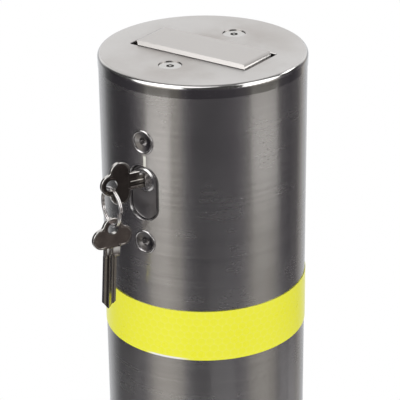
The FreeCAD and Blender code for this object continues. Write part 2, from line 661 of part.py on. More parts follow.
def key_blank():
    """A key with a three-lobed bow. X runs from the shoulder out to the bow, Y across the key and
    Z through its thickness. The blade runs towards -X along the X axis; the bow stands beside it."""
    bow = key_bow_outline(0.0, KEY_THICKNESS)
    rounded = [e for e in bow.Edges if e.CenterOfMass.z < 1e-6 or e.CenterOfMass.z > KEY_THICKNESS - 1e-6]
    bow = bow.makeFillet(KEY_EDGE_ROUND, rounded)
    pocket = key_bow_outline(KEY_RIM_WIDTH, KEY_POCKET_DEPTH)
    eye_middle = Vector(KEY_EYE_ALONG, KEY_BOW_OFFSET, 0)
    pocket = pocket.cut(Part.makeCylinder(KEY_HOLE_RADIUS + KEY_RIM_WIDTH, KEY_THICKNESS, eye_middle))
    top_pocket = pocket.copy()
    top_pocket.translate(Vector(0, 0, KEY_THICKNESS - KEY_POCKET_DEPTH))
    bow = bow.cut([pocket, top_pocket])
    bow = bow.cut(Part.makeCylinder(KEY_HOLE_RADIUS, KEY_THICKNESS, eye_middle))
    return bow.fuse(key_blade()).removeSplitter().cut(key_grooves())


def key_bow_outline(inset, thickness):
    """The bow and neck seen flat; an inset draws the whole outline in."""
    half_neck = KEY_NECK_WIDTH / 2 - inset
    lobes = []
    for side in (-1, 1):
        middle = Vector(KEY_LOBE_ALONG, KEY_BOW_OFFSET + side * KEY_LOBE_OUT, 0)
        lobes.append(Part.makeCylinder(KEY_LOBE_RADIUS - inset, thickness, middle))
    eye = Part.makeCylinder(KEY_EYE_RADIUS - inset, thickness, Vector(KEY_EYE_ALONG, KEY_BOW_OFFSET, 0))
    neck = block(KEY_NECK_END + inset, KEY_EYE_ALONG, KEY_BOW_OFFSET - half_neck, KEY_BOW_OFFSET + half_neck,
                 0, thickness)
    base_start = KEY_LOBE_ALONG - KEY_LOBE_RADIUS + inset + KEY_BASE_DIP
    base = block(base_start, KEY_LOBE_ALONG, KEY_BOW_OFFSET - KEY_LOBE_OUT, KEY_BOW_OFFSET + KEY_LOBE_OUT,
                 0, thickness)
    bow = neck.fuse([base, eye] + lobes).removeSplitter()
    waist = [e for e in upright_edges(bow) if e.CenterOfMass.x > KEY_LOBE_ALONG
             and abs(e.CenterOfMass.y - KEY_BOW_OFFSET) > half_neck]
    return bow.makeFillet(KEY_WAIST_ROUND, waist)


def key_blade():
    """The blade is in line with one side of the neck, so the shoulder is all on the other side."""
    inside_neck = KEY_NECK_END + KEY_RIM_WIDTH
    tip_start = -KEY_BLADE_LENGTH + KEY_TIP_LENGTH
    half = KEY_BLADE_WIDTH / 2
    points = [(inside_neck, half), (inside_neck, -half), (tip_start, -half),
              (-KEY_BLADE_LENGTH, KEY_TIP_ACROSS - half), (tip_start, half)]
    blade = prism(polygon(points), KEY_BLADE_THICKNESS)
    blade.translate(Vector(0, 0, (KEY_THICKNESS - KEY_BLADE_THICKNESS) / 2))
    return blade


def key_grooves():
    """Two milled grooves along each face, which run from the tip into the neck."""
    start = KEY_LOBE_ALONG - KEY_LOBE_RADIUS
    floor = (KEY_THICKNESS - KEY_BLADE_THICKNESS) / 2 + KEY_GROOVE_DEPTH
    half = KEY_GROOVE_WIDTH / 2
    grooves = []
    for middle in (-KEY_GROOVE_APART / 2, KEY_GROOVE_APART / 2):
        for low, high in ((-1, floor), (KEY_THICKNESS - floor, KEY_THICKNESS + 1)):
            grooves.append(block(-KEY_BLADE_LENGTH - 1, start, middle - half, middle + half, low, high))
    return grooves


def key_at(origin, along, thickness_way):
    """A key with its eye's middle at origin, its bow pointing along a direction."""
    turn = FreeCAD.Rotation(along, along.cross(thickness_way), thickness_way.negative(), "XZY")
    key = key_blank()
    key.translate(Vector(-KEY_EYE_ALONG, -KEY_BOW_OFFSET, -KEY_THICKNESS / 2))
    return placed(key, FreeCAD.Placement(origin, turn))


def key_eye_place():
    """The middle of the eye of the key in the lock."""
    return LOCK_FACE + LOCK_OUT * (KEY_EYE_ALONG + KEY_SEAT) + UP * KEY_BOW_OFFSET


def ring_place():
    """The middle of the key ring, which hangs by its top in the key's eye."""
    return key_eye_place() - UP * (KEY_HOLE_RADIUS - RING_WIRE - RING_SLACK + RING_RADIUS)


def spare_eye_place():
    """The middle of the spare key's eye, which hangs on the ring's lowest point."""
    return ring_place() - UP * (KEY_HOLE_RADIUS - RING_WIRE - RING_SLACK + RING_RADIUS)


def make_key_in_lock():
    return key_at(key_eye_place(), LOCK_OUT, LOCK_RIGHT)


def make_key_ring():
    return Part.makeTorus(RING_RADIUS, RING_WIRE, ring_place(), LOCK_OUT)


def make_spare_key():
    """The second key hangs on the ring, turned a little and leaning to one side."""
    face_way = FreeCAD.Rotation(UP, SPARE_KEY_TWIST).multVec(LOCK_RIGHT)
    along = FreeCAD.Rotation(face_way, -SPARE_KEY_LEAN).multVec(UP)
    return key_at(spare_eye_place(), along, face_way)


def make_reflective_band():
    high = POST_HEIGHT - BAND_TOP_DROP
    low = high - BAND_HEIGHT
    inner = TUBE_RADIUS + BAND_GLUE
    return disc(inner + BAND_THICKNESS, low, high).cut(disc(inner, low - 1, high + 1))


def make_guide_plate(low):
    """A disc pressed into the tube that holds a bush for the lifting rod."""
    plate = disc(INSERT_RADIUS, low, low + GUIDE_PLATE_THICKNESS)
    plate = plate.cut(disc(ROD_RADIUS + BUSH_RUNNING_FIT + BUSH_WALL + SCREW_CLEARANCE, low - 1,
                           low + GUIDE_PLATE_THICKNESS + 1))
    for number in range(3):
        angle = math.radians(90 + 120 * number)
        middle = (INSERT_RADIUS + BUSH_FLANGE_RADIUS) / 2
        plate = plate.cut(disc(BUSH_FLANGE_RADIUS, low - 1, low + GUIDE_PLATE_THICKNESS + 1,
                               middle * math.cos(angle), middle * math.sin(angle)))
    return plate


def make_guide_bush(low):
    """A flanged plastic bush; its flange lies under the guide plate."""
    bush = disc(ROD_RADIUS + BUSH_RUNNING_FIT + BUSH_WALL, low - BUSH_FLANGE,
                low + GUIDE_PLATE_THICKNESS + 1)
    bush = bush.fuse(disc(BUSH_FLANGE_RADIUS, low - BUSH_FLANGE, low)).removeSplitter()
    bore = disc(ROD_RADIUS + BUSH_RUNNING_FIT, low - BUSH_FLANGE - 1, low + GUIDE_PLATE_THICKNESS + 2)
    return bush.cut(bore)


def make_return_spring():
    """A compression spring that pushes the rod's collar down from the lower bush."""
    rise = SPRING_LENGTH - 2 * SPRING_WIRE - 2 * RING_SLACK
    helix = Part.makeHelix(rise / SPRING_TURNS, rise, SPRING_RADIUS)
    ring = Part.Wire(Part.makeCircle(SPRING_WIRE, Vector(SPRING_RADIUS, 0, 0), Vector(0, 1, 0)))
    spring = Part.Wire(helix).makePipeShell([ring], True, True)
    spring.translate(Vector(0, 0, COLLAR_TOP + SPRING_WIRE + RING_SLACK))
    return spring


def make_spring_collar():
    collar = disc(COLLAR_RADIUS, COLLAR_BOTTOM, COLLAR_TOP)
    collar = collar.cut(disc(ROD_RADIUS + INSIDE_FIT / 2, COLLAR_BOTTOM - 1, COLLAR_TOP + 1))
    pin = Part.makeCylinder(COLLAR_PIN_RADIUS, 2 * COLLAR_RADIUS + 2,
                            Vector(0, -COLLAR_RADIUS - 1, (COLLAR_BOTTOM + COLLAR_TOP) / 2), Vector(0, 1, 0))
    return collar.cut(pin)


def make_collar_pin():
    return Part.makeCylinder(COLLAR_PIN_RADIUS - 0.05, 2 * COLLAR_RADIUS - 1,
                             Vector(0, -COLLAR_RADIUS + 0.5, (COLLAR_BOTTOM + COLLAR_TOP) / 2),
                              Vector(0, 1, 0))


def clevis_pin_height():
    return CLEVIS_BOTTOM + CLEVIS_SLOT_DEPTH / 2


def make_rod_clevis():
    """A turned fork screwed on the rod's lower end; the cam plate hangs in its slot."""
    body = disc(CLEVIS_RADIUS, CLEVIS_BOTTOM, CLEVIS_TOP)
    rims = [e for e in body.Edges if isinstance(e.Curve, Part.Circle)]
    body = body.makeChamfer(1.0, rims)
    half = CAM_PLATE_THICKNESS / 2 + INSIDE_FIT / 2
    body = body.cut(block(-CLEVIS_RADIUS - 1, CLEVIS_RADIUS + 1, -half, half,
                          CLEVIS_BOTTOM - 1, CLEVIS_BOTTOM + CLEVIS_SLOT_DEPTH))
    body = body.cut(disc(ROD_RADIUS + INSIDE_FIT / 2, CLEVIS_TOP - ROD_IN_CLEVIS - 0.5, CLEVIS_TOP + 1))
    return body.cut(pin_across(CLEVIS_PIN_RADIUS, CLEVIS_RADIUS + 2, 0, clevis_pin_height()))


def pin_across(radius, half_length, x, z):
    """A pin along Y."""
    return Part.makeCylinder(radius, 2 * half_length, Vector(x, -half_length, z), Vector(0, 1, 0))


def make_clevis_pin():
    return pin_across(CLEVIS_PIN_RADIUS - 0.05, CLEVIS_RADIUS - 0.8, 0, clevis_pin_height())


def make_bolt_cam_plate():
    """A flat plate with two slanting slots that converge downwards, so lifting it draws both bolts in."""
    top = CAM_PLATE_ABOVE
    bottom = -HANDLE_STROKE - CAM_PLATE_ABOVE
    edge = BOLT_PIN_PLACE + CAM_PLATE_MARGIN
    neck_top = clevis_pin_height() + CLEVIS_SLOT_DEPTH / 2 - 0.5 - BOLT_HEIGHT
    points = [(-edge - CAM_SLOPE * top, top), (-edge - CAM_SLOPE * bottom, bottom),
              (edge + CAM_SLOPE * bottom, bottom), (edge + CAM_SLOPE * top, top),
              (CAM_NECK_HALF_WIDTH, top), (CAM_NECK_HALF_WIDTH, neck_top),
              (-CAM_NECK_HALF_WIDTH, neck_top), (-CAM_NECK_HALF_WIDTH, top)]
    plate = prism(polygon(points), CAM_PLATE_THICKNESS)
    for side in (-1, 1):
        start = Vector(side * BOLT_PIN_PLACE, 0, 0)
        end = Vector(side * (BOLT_PIN_PLACE - BOLT_STROKE), -HANDLE_STROKE, 0)
        slot = prism(slot_face(BOLT_PIN_RADIUS + CAM_SLOT_GAP, start, end), CAM_PLATE_THICKNESS)
        plate = plate.cut(slot)
    hole = Part.makeCylinder(CLEVIS_PIN_RADIUS, CAM_PLATE_THICKNESS,
                             Vector(0, clevis_pin_height() - BOLT_HEIGHT, 0))
    plate = plate.cut(hole)
    return placed(plate, frame_at(Vector(0, CAM_PLATE_THICKNESS / 2, BOLT_HEIGHT), Vector(0, -1, 0), UP))


def make_foot_bolt(side):
    """A round bolt with a reduced nose outside the tube and a forked inner end for the cam plate."""
    along = Vector(side, 0, 0)
    body = Part.makeCylinder(BOLT_RADIUS, BOLT_NOSE_START - BOLT_INNER_END, along * BOLT_INNER_END, along)
    nose = Part.makeCylinder(BOLT_NOSE_RADIUS, BOLT_TIP - BOLT_NOSE_START, along * BOLT_NOSE_START, along)
    tip = [e for e in nose.Edges if isinstance(e.Curve, Part.Circle)
           and abs(e.CenterOfMass.x) > BOLT_TIP - 0.1]
    bolt = body.fuse(nose.makeChamfer(BOLT_NOSE_CHAMFER, tip)).removeSplitter()
    half = CAM_PLATE_THICKNESS / 2 + CAM_PLATE_SIDE_GAP
    low, high = sorted((side * (BOLT_INNER_END - 1), side * BOLT_FORK_END))
    bolt = bolt.cut(block(low, high, -half, half, -BOLT_RADIUS - 1, BOLT_RADIUS + 1))
    bolt = bolt.cut(pin_across(BOLT_PIN_RADIUS, BOLT_RADIUS + 1, side * BOLT_PIN_PLACE, 0))
    bolt.translate(Vector(0, 0, BOLT_HEIGHT))
    return bolt


def make_bolt_pin(side):
    return pin_across(BOLT_PIN_RADIUS - 0.02, BOLT_PIN_HALF_LENGTH, side * BOLT_PIN_PLACE, BOLT_HEIGHT)


def make_bolt_carrier():
    """A turned block across the tube, bored for both bolts and slotted for the cam plate."""
    body = disc(INSERT_RADIUS, CARRIER_BOTTOM, CARRIER_BOTTOM + CARRIER_HEIGHT)
    bore = Part.makeCylinder(BOLT_RADIUS + BOLT_RUNNING_FIT, 2 * TUBE_RADIUS,
                             Vector(-TUBE_RADIUS, 0, BOLT_HEIGHT), Vector(1, 0, 0))
    half = CAM_PLATE_THICKNESS / 2 + CAM_PLATE_SIDE_GAP
    slot = block(-CARRIER_SLOT_HALF_LENGTH, CARRIER_SLOT_HALF_LENGTH, -half, half,
                 CARRIER_BOTTOM - 1, CARRIER_BOTTOM + CARRIER_HEIGHT + 1)
    body = body.cut([bore, slot])
    for angle in (45, 135, 225, 315):
        x = CARRIER_DRAIN_PLACE * math.cos(math.radians(angle))
        y = CARRIER_DRAIN_PLACE * math.sin(math.radians(angle))
        drain = disc(CARRIER_DRAIN_RADIUS, CARRIER_BOTTOM - 1, CARRIER_BOTTOM + CARRIER_HEIGHT + 1, x, y)
        body = body.cut(drain)
    for place in foot_screw_places(BOLT_HEIGHT):
        body = body.cut(placed(tube_screw_hole(), place))
    return body


def make_foot_screws(height):
    return Part.makeCompound([placed(tube_screw(), place) for place in foot_screw_places(height)])


def make_foot_plug():
    """A turned foot: a chamfered land to stand on, a flange under the tube and a hollow spigot in it."""
    land = disc(LAND_RADIUS, 0, LAND_HEIGHT)
    low_rim = [e for e in land.Edges if isinstance(e.Curve, Part.Circle) and e.CenterOfMass.z < 0.1]
    land = land.makeChamfer(LAND_CHAMFER, low_rim)
    flange = disc(TUBE_RADIUS, LAND_HEIGHT, TUBE_BOTTOM)
    spigot = disc(INSERT_RADIUS, TUBE_BOTTOM, TUBE_BOTTOM + PLUG_SPIGOT_HEIGHT)
    plug = land.fuse([flange, spigot]).removeSplitter()
    plug = plug.cut(disc(INSERT_RADIUS - 2 * PLUG_WALL, PLUG_WALL, TUBE_BOTTOM + PLUG_SPIGOT_HEIGHT + 1))
    for number in range(DRAIN_COUNT):
        angle = math.radians(90 + 360 * number / DRAIN_COUNT)
        plug = plug.cut(disc(DRAIN_RADIUS, -1, PLUG_WALL + 1,
                             DRAIN_CIRCLE * math.cos(angle), DRAIN_CIRCLE * math.sin(angle)))
    for place in foot_screw_places(PLUG_SCREW_HEIGHT):
        plug = plug.cut(placed(tube_screw_hole(), place))
    return plug


def make_parts():
    """Every separate piece of the bollard by name."""
    return {
        "post_tube": make_post_tube(),
        "cap_plate": make_cap_plate(),
        "cap_screws": make_cap_screws(),
        "cap_lug_front": make_cap_lug(-1),
        "cap_lug_rear": make_cap_lug(1),
        "reflective_band": make_reflective_band(),
        "lift_handle": make_lift_handle(),
        "handle_crosshead": make_handle_crosshead(),
        "crosshead_screws": make_crosshead_screws(),
        "guide_channel_left": make_guide_channel(-1),
        "guide_channel_right": make_guide_channel(1),
        "channel_screws": make_channel_screws(),
        "lift_rod": make_lift_rod(),
        "rod_nuts": make_rod_nuts(),
        "disc_spacer": make_disc_spacer(),
        "locking_disc": make_locking_disc(),
        "lock_case": make_lock_case(),
        "side_screws": make_side_screws(),
        "oval_cylinder": make_oval_cylinder(),
        "lock_plug": make_lock_plug(),
        "lock_cam": make_lock_cam(),
        "cam_screw": make_cam_screw(),
        "key_in_lock": make_key_in_lock(),
        "key_ring": make_key_ring(),
        "spare_key": make_spare_key(),
        "upper_guide_plate": make_guide_plate(UPPER_GUIDE_BOTTOM),
        "upper_guide_bush": make_guide_bush(UPPER_GUIDE_BOTTOM),
        "lower_guide_plate": make_guide_plate(LOWER_GUIDE_BOTTOM),
        "lower_guide_bush": make_guide_bush(LOWER_GUIDE_BOTTOM),
        "return_spring": make_return_spring(),
        "spring_collar": make_spring_collar(),
        "collar_pin": make_collar_pin(),
        "rod_clevis": make_rod_clevis(),
        "clevis_pin": make_clevis_pin(),
        "bolt_cam_plate": make_bolt_cam_plate(),
        "foot_bolt_left": make_foot_bolt(-1),
        "foot_bolt_right": make_foot_bolt(1),
        "bolt_pin_left": make_bolt_pin(-1),
        "bolt_pin_right": make_bolt_pin(1),
        "bolt_carrier": make_bolt_carrier(),
        "carrier_screws": make_foot_screws(BOLT_HEIGHT),
        "foot_plug": make_foot_plug(),
        "foot_plug_screws": make_foot_screws(PLUG_SCREW_HEIGHT),
    }


os.makedirs("parts", exist_ok=True)
for name, shape in make_parts().items():
    shape.exportStep(os.path.join("parts", name + ".step"))
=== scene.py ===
"""A removable bollard: a brushed stainless tube with a lifting handle in its cap, a key lock in its side
and a yellow reflective band."""
import math

import bpy
from mathutils import Matrix, Vector


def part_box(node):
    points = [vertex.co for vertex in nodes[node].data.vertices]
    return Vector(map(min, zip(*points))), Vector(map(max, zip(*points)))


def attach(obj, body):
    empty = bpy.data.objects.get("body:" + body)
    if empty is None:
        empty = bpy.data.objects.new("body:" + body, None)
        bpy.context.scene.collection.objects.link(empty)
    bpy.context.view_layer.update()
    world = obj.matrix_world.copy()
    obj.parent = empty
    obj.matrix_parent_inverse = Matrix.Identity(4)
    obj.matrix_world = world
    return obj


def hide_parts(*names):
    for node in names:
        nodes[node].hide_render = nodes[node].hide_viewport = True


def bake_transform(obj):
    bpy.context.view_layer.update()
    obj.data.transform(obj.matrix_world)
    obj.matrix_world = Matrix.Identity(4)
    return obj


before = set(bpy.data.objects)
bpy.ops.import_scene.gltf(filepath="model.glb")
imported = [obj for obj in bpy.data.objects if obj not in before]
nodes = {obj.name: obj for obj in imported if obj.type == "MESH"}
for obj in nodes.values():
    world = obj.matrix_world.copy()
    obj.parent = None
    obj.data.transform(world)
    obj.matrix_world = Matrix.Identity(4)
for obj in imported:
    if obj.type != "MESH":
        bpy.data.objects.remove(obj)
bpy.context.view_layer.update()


# The camera stands above the post and in front of its lock, with a long lens. Its place is in metres, its
# angles are in degrees and its lens is in millimetres, found by matching the outline of the tube and cap.
CAMERA_PLACE = Vector((0.5403, -0.7659, 1.4891))
CAMERA_HEADING = Vector((-0.5786, 0.8156, 0.0)).normalized()
CAMERA_TILT = 24.626
CAMERA_ROLL = -0.670
CAMERA_LENS = 164.35

tilt = math.radians(CAMERA_TILT)
roll = math.radians(CAMERA_ROLL)
forward = CAMERA_HEADING * math.cos(tilt) - Vector((0, 0, math.sin(tilt)))
level_right = forward.cross(Vector((0, 0, 1))).normalized()
level_up = level_right.cross(forward)
right = level_right * math.cos(roll) + level_up * math.sin(roll)
up = level_up * math.cos(roll) - level_right * math.sin(roll)
turn = Matrix((right, up, -forward)).transposed()

camera_data = bpy.data.cameras.new("camera")
camera_data.lens = CAMERA_LENS
camera_data.sensor_width = 36.0
camera = bpy.data.objects.new("camera", camera_data)
camera.matrix_world = Matrix.Translation(CAMERA_PLACE) @ turn.to_4x4()
bpy.context.scene.collection.objects.link(camera)
bpy.context.scene.camera = camera
bpy.context.scene.view_settings.view_transform = "Standard"


# The studio, as the steel mirrors it: a ring of upright light and dark panels round the post, two long soft
# boxes above them with a dark gap between, a white wall behind the post and a pale floor. The camera sees
# it white, and matt surfaces take one plain light from it.
class Value:
    """A number on a shader socket. Sums, products and powers of it add Math nodes."""

    def __init__(self, finish, socket):
        self.finish = finish
        self.socket = socket

    def maths(self, operation, *others):
        """This number, and the others after it, through a Math node."""
        inputs = dict(enumerate((self, *others)))
        return self.finish.node("ShaderNodeMath", {"operation": operation}, inputs)

    def __add__(self, other):
        return self.maths("ADD", other)

    def __sub__(self, other):
        return self.maths("SUBTRACT", other)

    def __rsub__(self, other):
        return self.finish.node("ShaderNodeMath", {"operation": "SUBTRACT"}, {0: other, 1: self})

    def __mul__(self, other):
        return self.maths("MULTIPLY", other)

    def __truediv__(self, other):
        return self.maths("DIVIDE", other)

    def __pow__(self, other):
        return self.maths("POWER", other)

    def __abs__(self):
        return self.maths("ABSOLUTE")

    __radd__ = __add__
    __rmul__ = __mul__

    def above(self, low, high):
        """0 below low and 1 above high, with a smooth step between."""
        settings = {"interpolation_type": "SMOOTHSTEP"}
        inputs = {"Value": self, "From Min": low, "From Max": high}
        return self.finish.node("ShaderNodeMapRange", settings, inputs)

    def between(self, start, end):
        """1 between two soft edges and 0 outside them. Each edge is where its step begins and ends."""
        return self.above(*start) * (1 - self.above(*end))


def grey(level):
    return (level, level, level, 1)


class Finish:
    """A material, or the world, whose nodes are added one by one."""

    def __init__(self, owner):
        owner.use_nodes = True
        self.owner = owner
        self.tree = owner.node_tree
        self.tree.nodes.clear()

    def node(self, kind, settings=None, inputs=None, output=0):
        """Adds a node, with the numbers or links of its inputs, and gives one of its outputs."""
        made = self.tree.nodes.new(kind)
        for name, setting in (settings or {}).items():
            if name == "stops":
                self.set_stops(made.color_ramp, setting)
            else:
                setattr(made, name, setting)
        for name, value in (inputs or {}).items():
            if isinstance(value, Value):
                self.tree.links.new(value.socket, made.inputs[name])
            else:
                made.inputs[name].default_value = value
        if made.outputs:
            return Value(self, made.outputs[output])

    def set_stops(self, ramp, stops):
        ramp.interpolation = "EASE"
        while len(ramp.elements) < len(stops):
            ramp.elements.new(1.0)
        for element, (position, level) in zip(ramp.elements, stops):
            element.position = position
            element.color = grey(level)

    def place(self, x=1.0, y=1.0, z=1.0):
        """The point on the object in metres, each axis stretched by its factor."""
        point = self.node("ShaderNodeTexCoord", output="Object")
        return self.node("ShaderNodeVectorMath", {"operation": "MULTIPLY"}, {0: point, 1: (x, y, z)})

    def axes(self, vector):
        first = self.node("ShaderNodeSeparateXYZ", None, {0: vector})
        return [Value(self, axis) for axis in first.socket.node.outputs]

    def along(self, vector, way):
        """How far a vector reaches along a way, which is a vector of length 1."""
        return self.node("ShaderNodeVectorMath", {"operation": "DOT_PRODUCT"}, {0: vector, 1: way}, "Value")

    def facing(self, way):
        """1 where the surface faces this way, 0 where it is square to it and -1 where it faces back."""
        return self.along(self.node("ShaderNodeTexCoord", output="Normal"), way)

    def from_point(self, point):
        """The way in metres from this point to the one on the object."""
        return self.node("ShaderNodeVectorMath", {"operation": "SUBTRACT"}, {0: self.place(), 1: point})

    def from_axis(self):
        """How far the point on the object is from the post's axis, in metres."""
        x, y, _ = self.axes(self.place())
        return (x * x + y * y) ** 0.5

    def noise(self, where, scale, detail=2.0, roughness=0.5):
        inputs = {"Vector": where, "Scale": scale, "Detail": detail, "Roughness": roughness}
        return self.node("ShaderNodeTexNoise", None, inputs)

    def mix_colours(self, amount, first, second, blend="MIX"):
        settings = {"data_type": "RGBA", "blend_type": blend}
        inputs = {0: amount, 6: first, 7: second}
        return self.node("ShaderNodeMix", settings, inputs, 2)

    def bump(self, height, distance, normal=None):
        inputs = {"Height": height, "Distance": distance, "Strength": 1.0}
        if normal:
            inputs["Normal"] = normal
        return self.node("ShaderNodeBump", None, inputs)

    def surface(self, **sockets):
        """The Principled shader, each socket named with _ for a space."""
        inputs = {name.replace("_", " "): value for name, value in sockets.items()}
        shader = self.node("ShaderNodeBsdfPrincipled", None, inputs)
        self.node("ShaderNodeOutputMaterial", None, {"Surface": shader})
        return self.owner


WHITE = grey(1.0)
PLAIN_LIGHT = 0.86

world = bpy.data.worlds.new("studio")
bpy.context.scene.world = world
studio = Finish(world)
direction = studio.node("ShaderNodeTexCoord", output="Generated")
rise = studio.axes(direction)[2]
toward_camera = studio.along(direction, -CAMERA_HEADING)
toward_right = studio.along(direction, level_right)
# Around is a share of a turn: 0 and 1 are behind the post, 0.25 at its left, 0.5 at the camera and 0.75 at
# its right. Rise is -1 straight down, 0 level and 1 straight up.
around = toward_right.maths("ARCTAN2", toward_camera) / (2 * math.pi) + 0.5

# The panels: each pair is a place around and a grey. Their shade is cool and their light is warm, but the
# furthest are cool again. A darker strip lies where upright polished faces look, such as the cap's side.
PANELS = [
    (0.000, 1.00), (0.095, 0.55), (0.120, 0.36), (0.150, 0.16), (0.189, 0.03), (0.233, 0.04),
    (0.272, 0.08), (0.306, 0.24), (0.333, 0.56), (0.378, 0.65), (0.417, 0.50), (0.440, 0.17),
    (0.464, 0.05), (0.528, 0.06), (0.583, 0.09), (0.622, 0.18), (0.661, 0.42), (0.694, 0.50),
    (0.733, 0.40), (0.767, 0.13), (0.811, 0.05), (0.861, 0.22), (0.892, 0.48), (1.000, 1.00),
]
COOL_SHADE = (1.0, 0.935, 1.07, 1)
WARM_LIGHT = (1.0, 0.945, 0.870, 1)
COOL_EDGE = (0.98, 1.0, 1.03, 1)
WARM_FROM = (0.06, 0.40)
COOL_EDGE_FROM = (0.345, 0.385)
STRIP_BOTTOM = (-0.50, -0.45)
STRIP_TOP = (-0.31, -0.24)
STRIP_SHARE = 0.22
STRIP_LIGHT = 0.035
BACK_WALL_FROM = (0.34, 0.40)
BOX_MIDDLE = 0.5325

behind = abs(0.5 - around).above(*BACK_WALL_FROM)
from_middle = abs(around - BOX_MIDDLE)
panel_greys = studio.node("ShaderNodeValToRGB", {"stops": PANELS}, {0: around})
warm_or_cool = studio.mix_colours(panel_greys.above(*WARM_FROM), COOL_SHADE, WARM_LIGHT)
panel_tint = studio.mix_colours(from_middle.above(*COOL_EDGE_FROM), warm_or_cool, COOL_EDGE)
strip = rise.between(STRIP_BOTTOM, STRIP_TOP) * (1 - behind)
panels_and_strip = studio.mix_colours(strip, panel_greys, panel_greys * STRIP_SHARE + STRIP_LIGHT)
panels = studio.mix_colours(1.0, panels_and_strip, panel_tint, "MULTIPLY")

# The floor's light from below, white where the floor runs out behind the post.
FLOOR_LIGHT = 0.22
FLOOR_FROM = (0.50, 0.80)
mirrored_floor = studio.mix_colours(behind, grey(FLOOR_LIGHT), WHITE)
low_half = studio.mix_colours((rise * -1).above(*FLOOR_FROM), panels, mirrored_floor)

# The two soft boxes: the gap between them and both outer ends slant outwards as they rise. Above the boxes
# is a grey ceiling.
BOX_STRENGTH = 1.9
BOX_TOP = (0.90, 0.95)
GAP_SLANT = 0.115
SLANTED_GAP_EDGE = (0.027, 0.040)
UPRIGHT_GAP_EDGE = (0.086, 0.099)
END_SLANT = 0.12
LEFT_END = (0.208, 0.222)
RIGHT_END = (0.170, 0.184)
ROOM_LIGHT = 0.07
CEILING_LIGHT = 0.28
CEILING_FROM = (0.95, 0.98)
BACK_WALL_TOP = (0.62, 0.80)
HIGH_HALF_FROM = (0.08, 0.16)

past_gap = (from_middle - GAP_SLANT * rise).above(*SLANTED_GAP_EDGE) * from_middle.above(*UPRIGHT_GAP_EDGE)
past_left_end = (BOX_MIDDLE - END_SLANT * rise - around).above(*LEFT_END)
past_right_end = (around - END_SLANT * rise - BOX_MIDDLE).above(*RIGHT_END)
past_end = past_left_end.maths("MAXIMUM", past_right_end)
boxes = past_gap * (1 - past_end) * (1 - rise.above(*BOX_TOP)) * BOX_STRENGTH
high_front = boxes + ROOM_LIGHT + CEILING_LIGHT * rise.above(*CEILING_FROM)
back_wall = behind * (1 - rise.above(*BACK_WALL_TOP))
high_half = studio.mix_colours(back_wall, high_front, WHITE)

mirrored = studio.mix_colours(rise.above(*HIGH_HALF_FROM), low_half, high_half)
in_metal = studio.node("ShaderNodeLightPath", output="Is Glossy Ray")
light = studio.mix_colours(in_metal, grey(PLAIN_LIGHT), mirrored)
seen_by_camera = studio.node("ShaderNodeLightPath", output="Is Camera Ray")
sky = studio.mix_colours(seen_by_camera, light, WHITE)
background = studio.node("ShaderNodeBackground", None, {"Color": sky, "Strength": 1.0})
studio.node("ShaderNodeOutputWorld", None, {"Surface": background})
world.cycles.sampling_method = "NONE"


# The floor: a pale round sheet that carries the post's shadow and fades into the white round it.
FLOOR_RADIUS = 1.2
FLOOR_FADE = (0.42, 1.14)

bpy.ops.object.select_all(action="DESELECT")
bpy.ops.mesh.primitive_circle_add(vertices=96, radius=FLOOR_RADIUS, fill_type="NGON")
floor = bpy.context.object
floor.name = "floor"
pale_floor = Finish(bpy.data.materials.new("pale_floor"))
paint = pale_floor.node("ShaderNodeBsdfDiffuse", None, {"Color": grey(0.85)})
clear = pale_floor.node("ShaderNodeBsdfTransparent")
fade = pale_floor.from_axis().above(*FLOOR_FADE)
faded = pale_floor.node("ShaderNodeMixShader", None, {0: fade, 1: paint, 2: clear})
pale_floor.node("ShaderNodeOutputMaterial", None, {"Surface": faded})
floor.data.materials.append(pale_floor.owner)


# The lamps: one broad soft box high in front of the post, and small lit cards close to it. The cards
# brighten the tube's upright reflections near its top and below the band, and the end of the handle.
TUBE_CARD_DISTANCE = 0.34
HANDLE_END = Vector((0.0402, -0.0060, 1.152))
HANDLE_CARD_DISTANCE = 0.12


def soft_box(name, place, aim, size, power):
    """A lamp of this width and height that faces one point of the post."""
    lamp = bpy.data.lights.new(name, "AREA")
    lamp.shape = "RECTANGLE"
    lamp.size, lamp.size_y = size
    lamp.energy = power
    box = bpy.data.objects.new(name, lamp)
    facing = (aim - place).to_track_quat("-Z", "Y")
    box.matrix_world = Matrix.Translation(place) @ facing.to_matrix().to_4x4()
    box.visible_camera = False
    bpy.context.scene.collection.objects.link(box)


def near_card(name, aim, side_angle, rise_angle, distance, size, power):
    """A small lit card near one point of the post. The side angle counts from the camera to its right
    and the rise angle from level, both in degrees."""
    side = math.radians(side_angle)
    climb = math.radians(rise_angle)
    level_way = level_right * math.sin(side) - CAMERA_HEADING * math.cos(side)
    way = level_way * math.cos(climb) + Vector((0, 0, math.sin(climb)))
    soft_box(name, aim + way * distance, aim, size, power)


soft_box("overhead_lamp", Vector((-0.1, -0.7, 3.0)), Vector((0, 0, 1.05)), (1.4, 1.4), 9.0)
for name, card_height, side_angle, size, power in (
        ("left_card", 0.9925, -48, (0.16, 0.055), 0.0205),
        ("right_card", 0.9925, 66, (0.20, 0.055), 0.0215),
        ("low_card", 0.76, 18, (0.16, 0.20), 0.010),
        ("low_right_card", 0.76, 105, (0.18, 0.12), 0.014),
        ("low_left_card", 0.76, -92, (0.18, 0.12), 0.006)):
    near_card(name, Vector((0, 0, card_height)), side_angle, 0, TUBE_CARD_DISTANCE, size, power)
near_card("end_card", HANDLE_END, 115, 32, HANDLE_CARD_DISTANCE, (0.040, 0.030), 0.011)


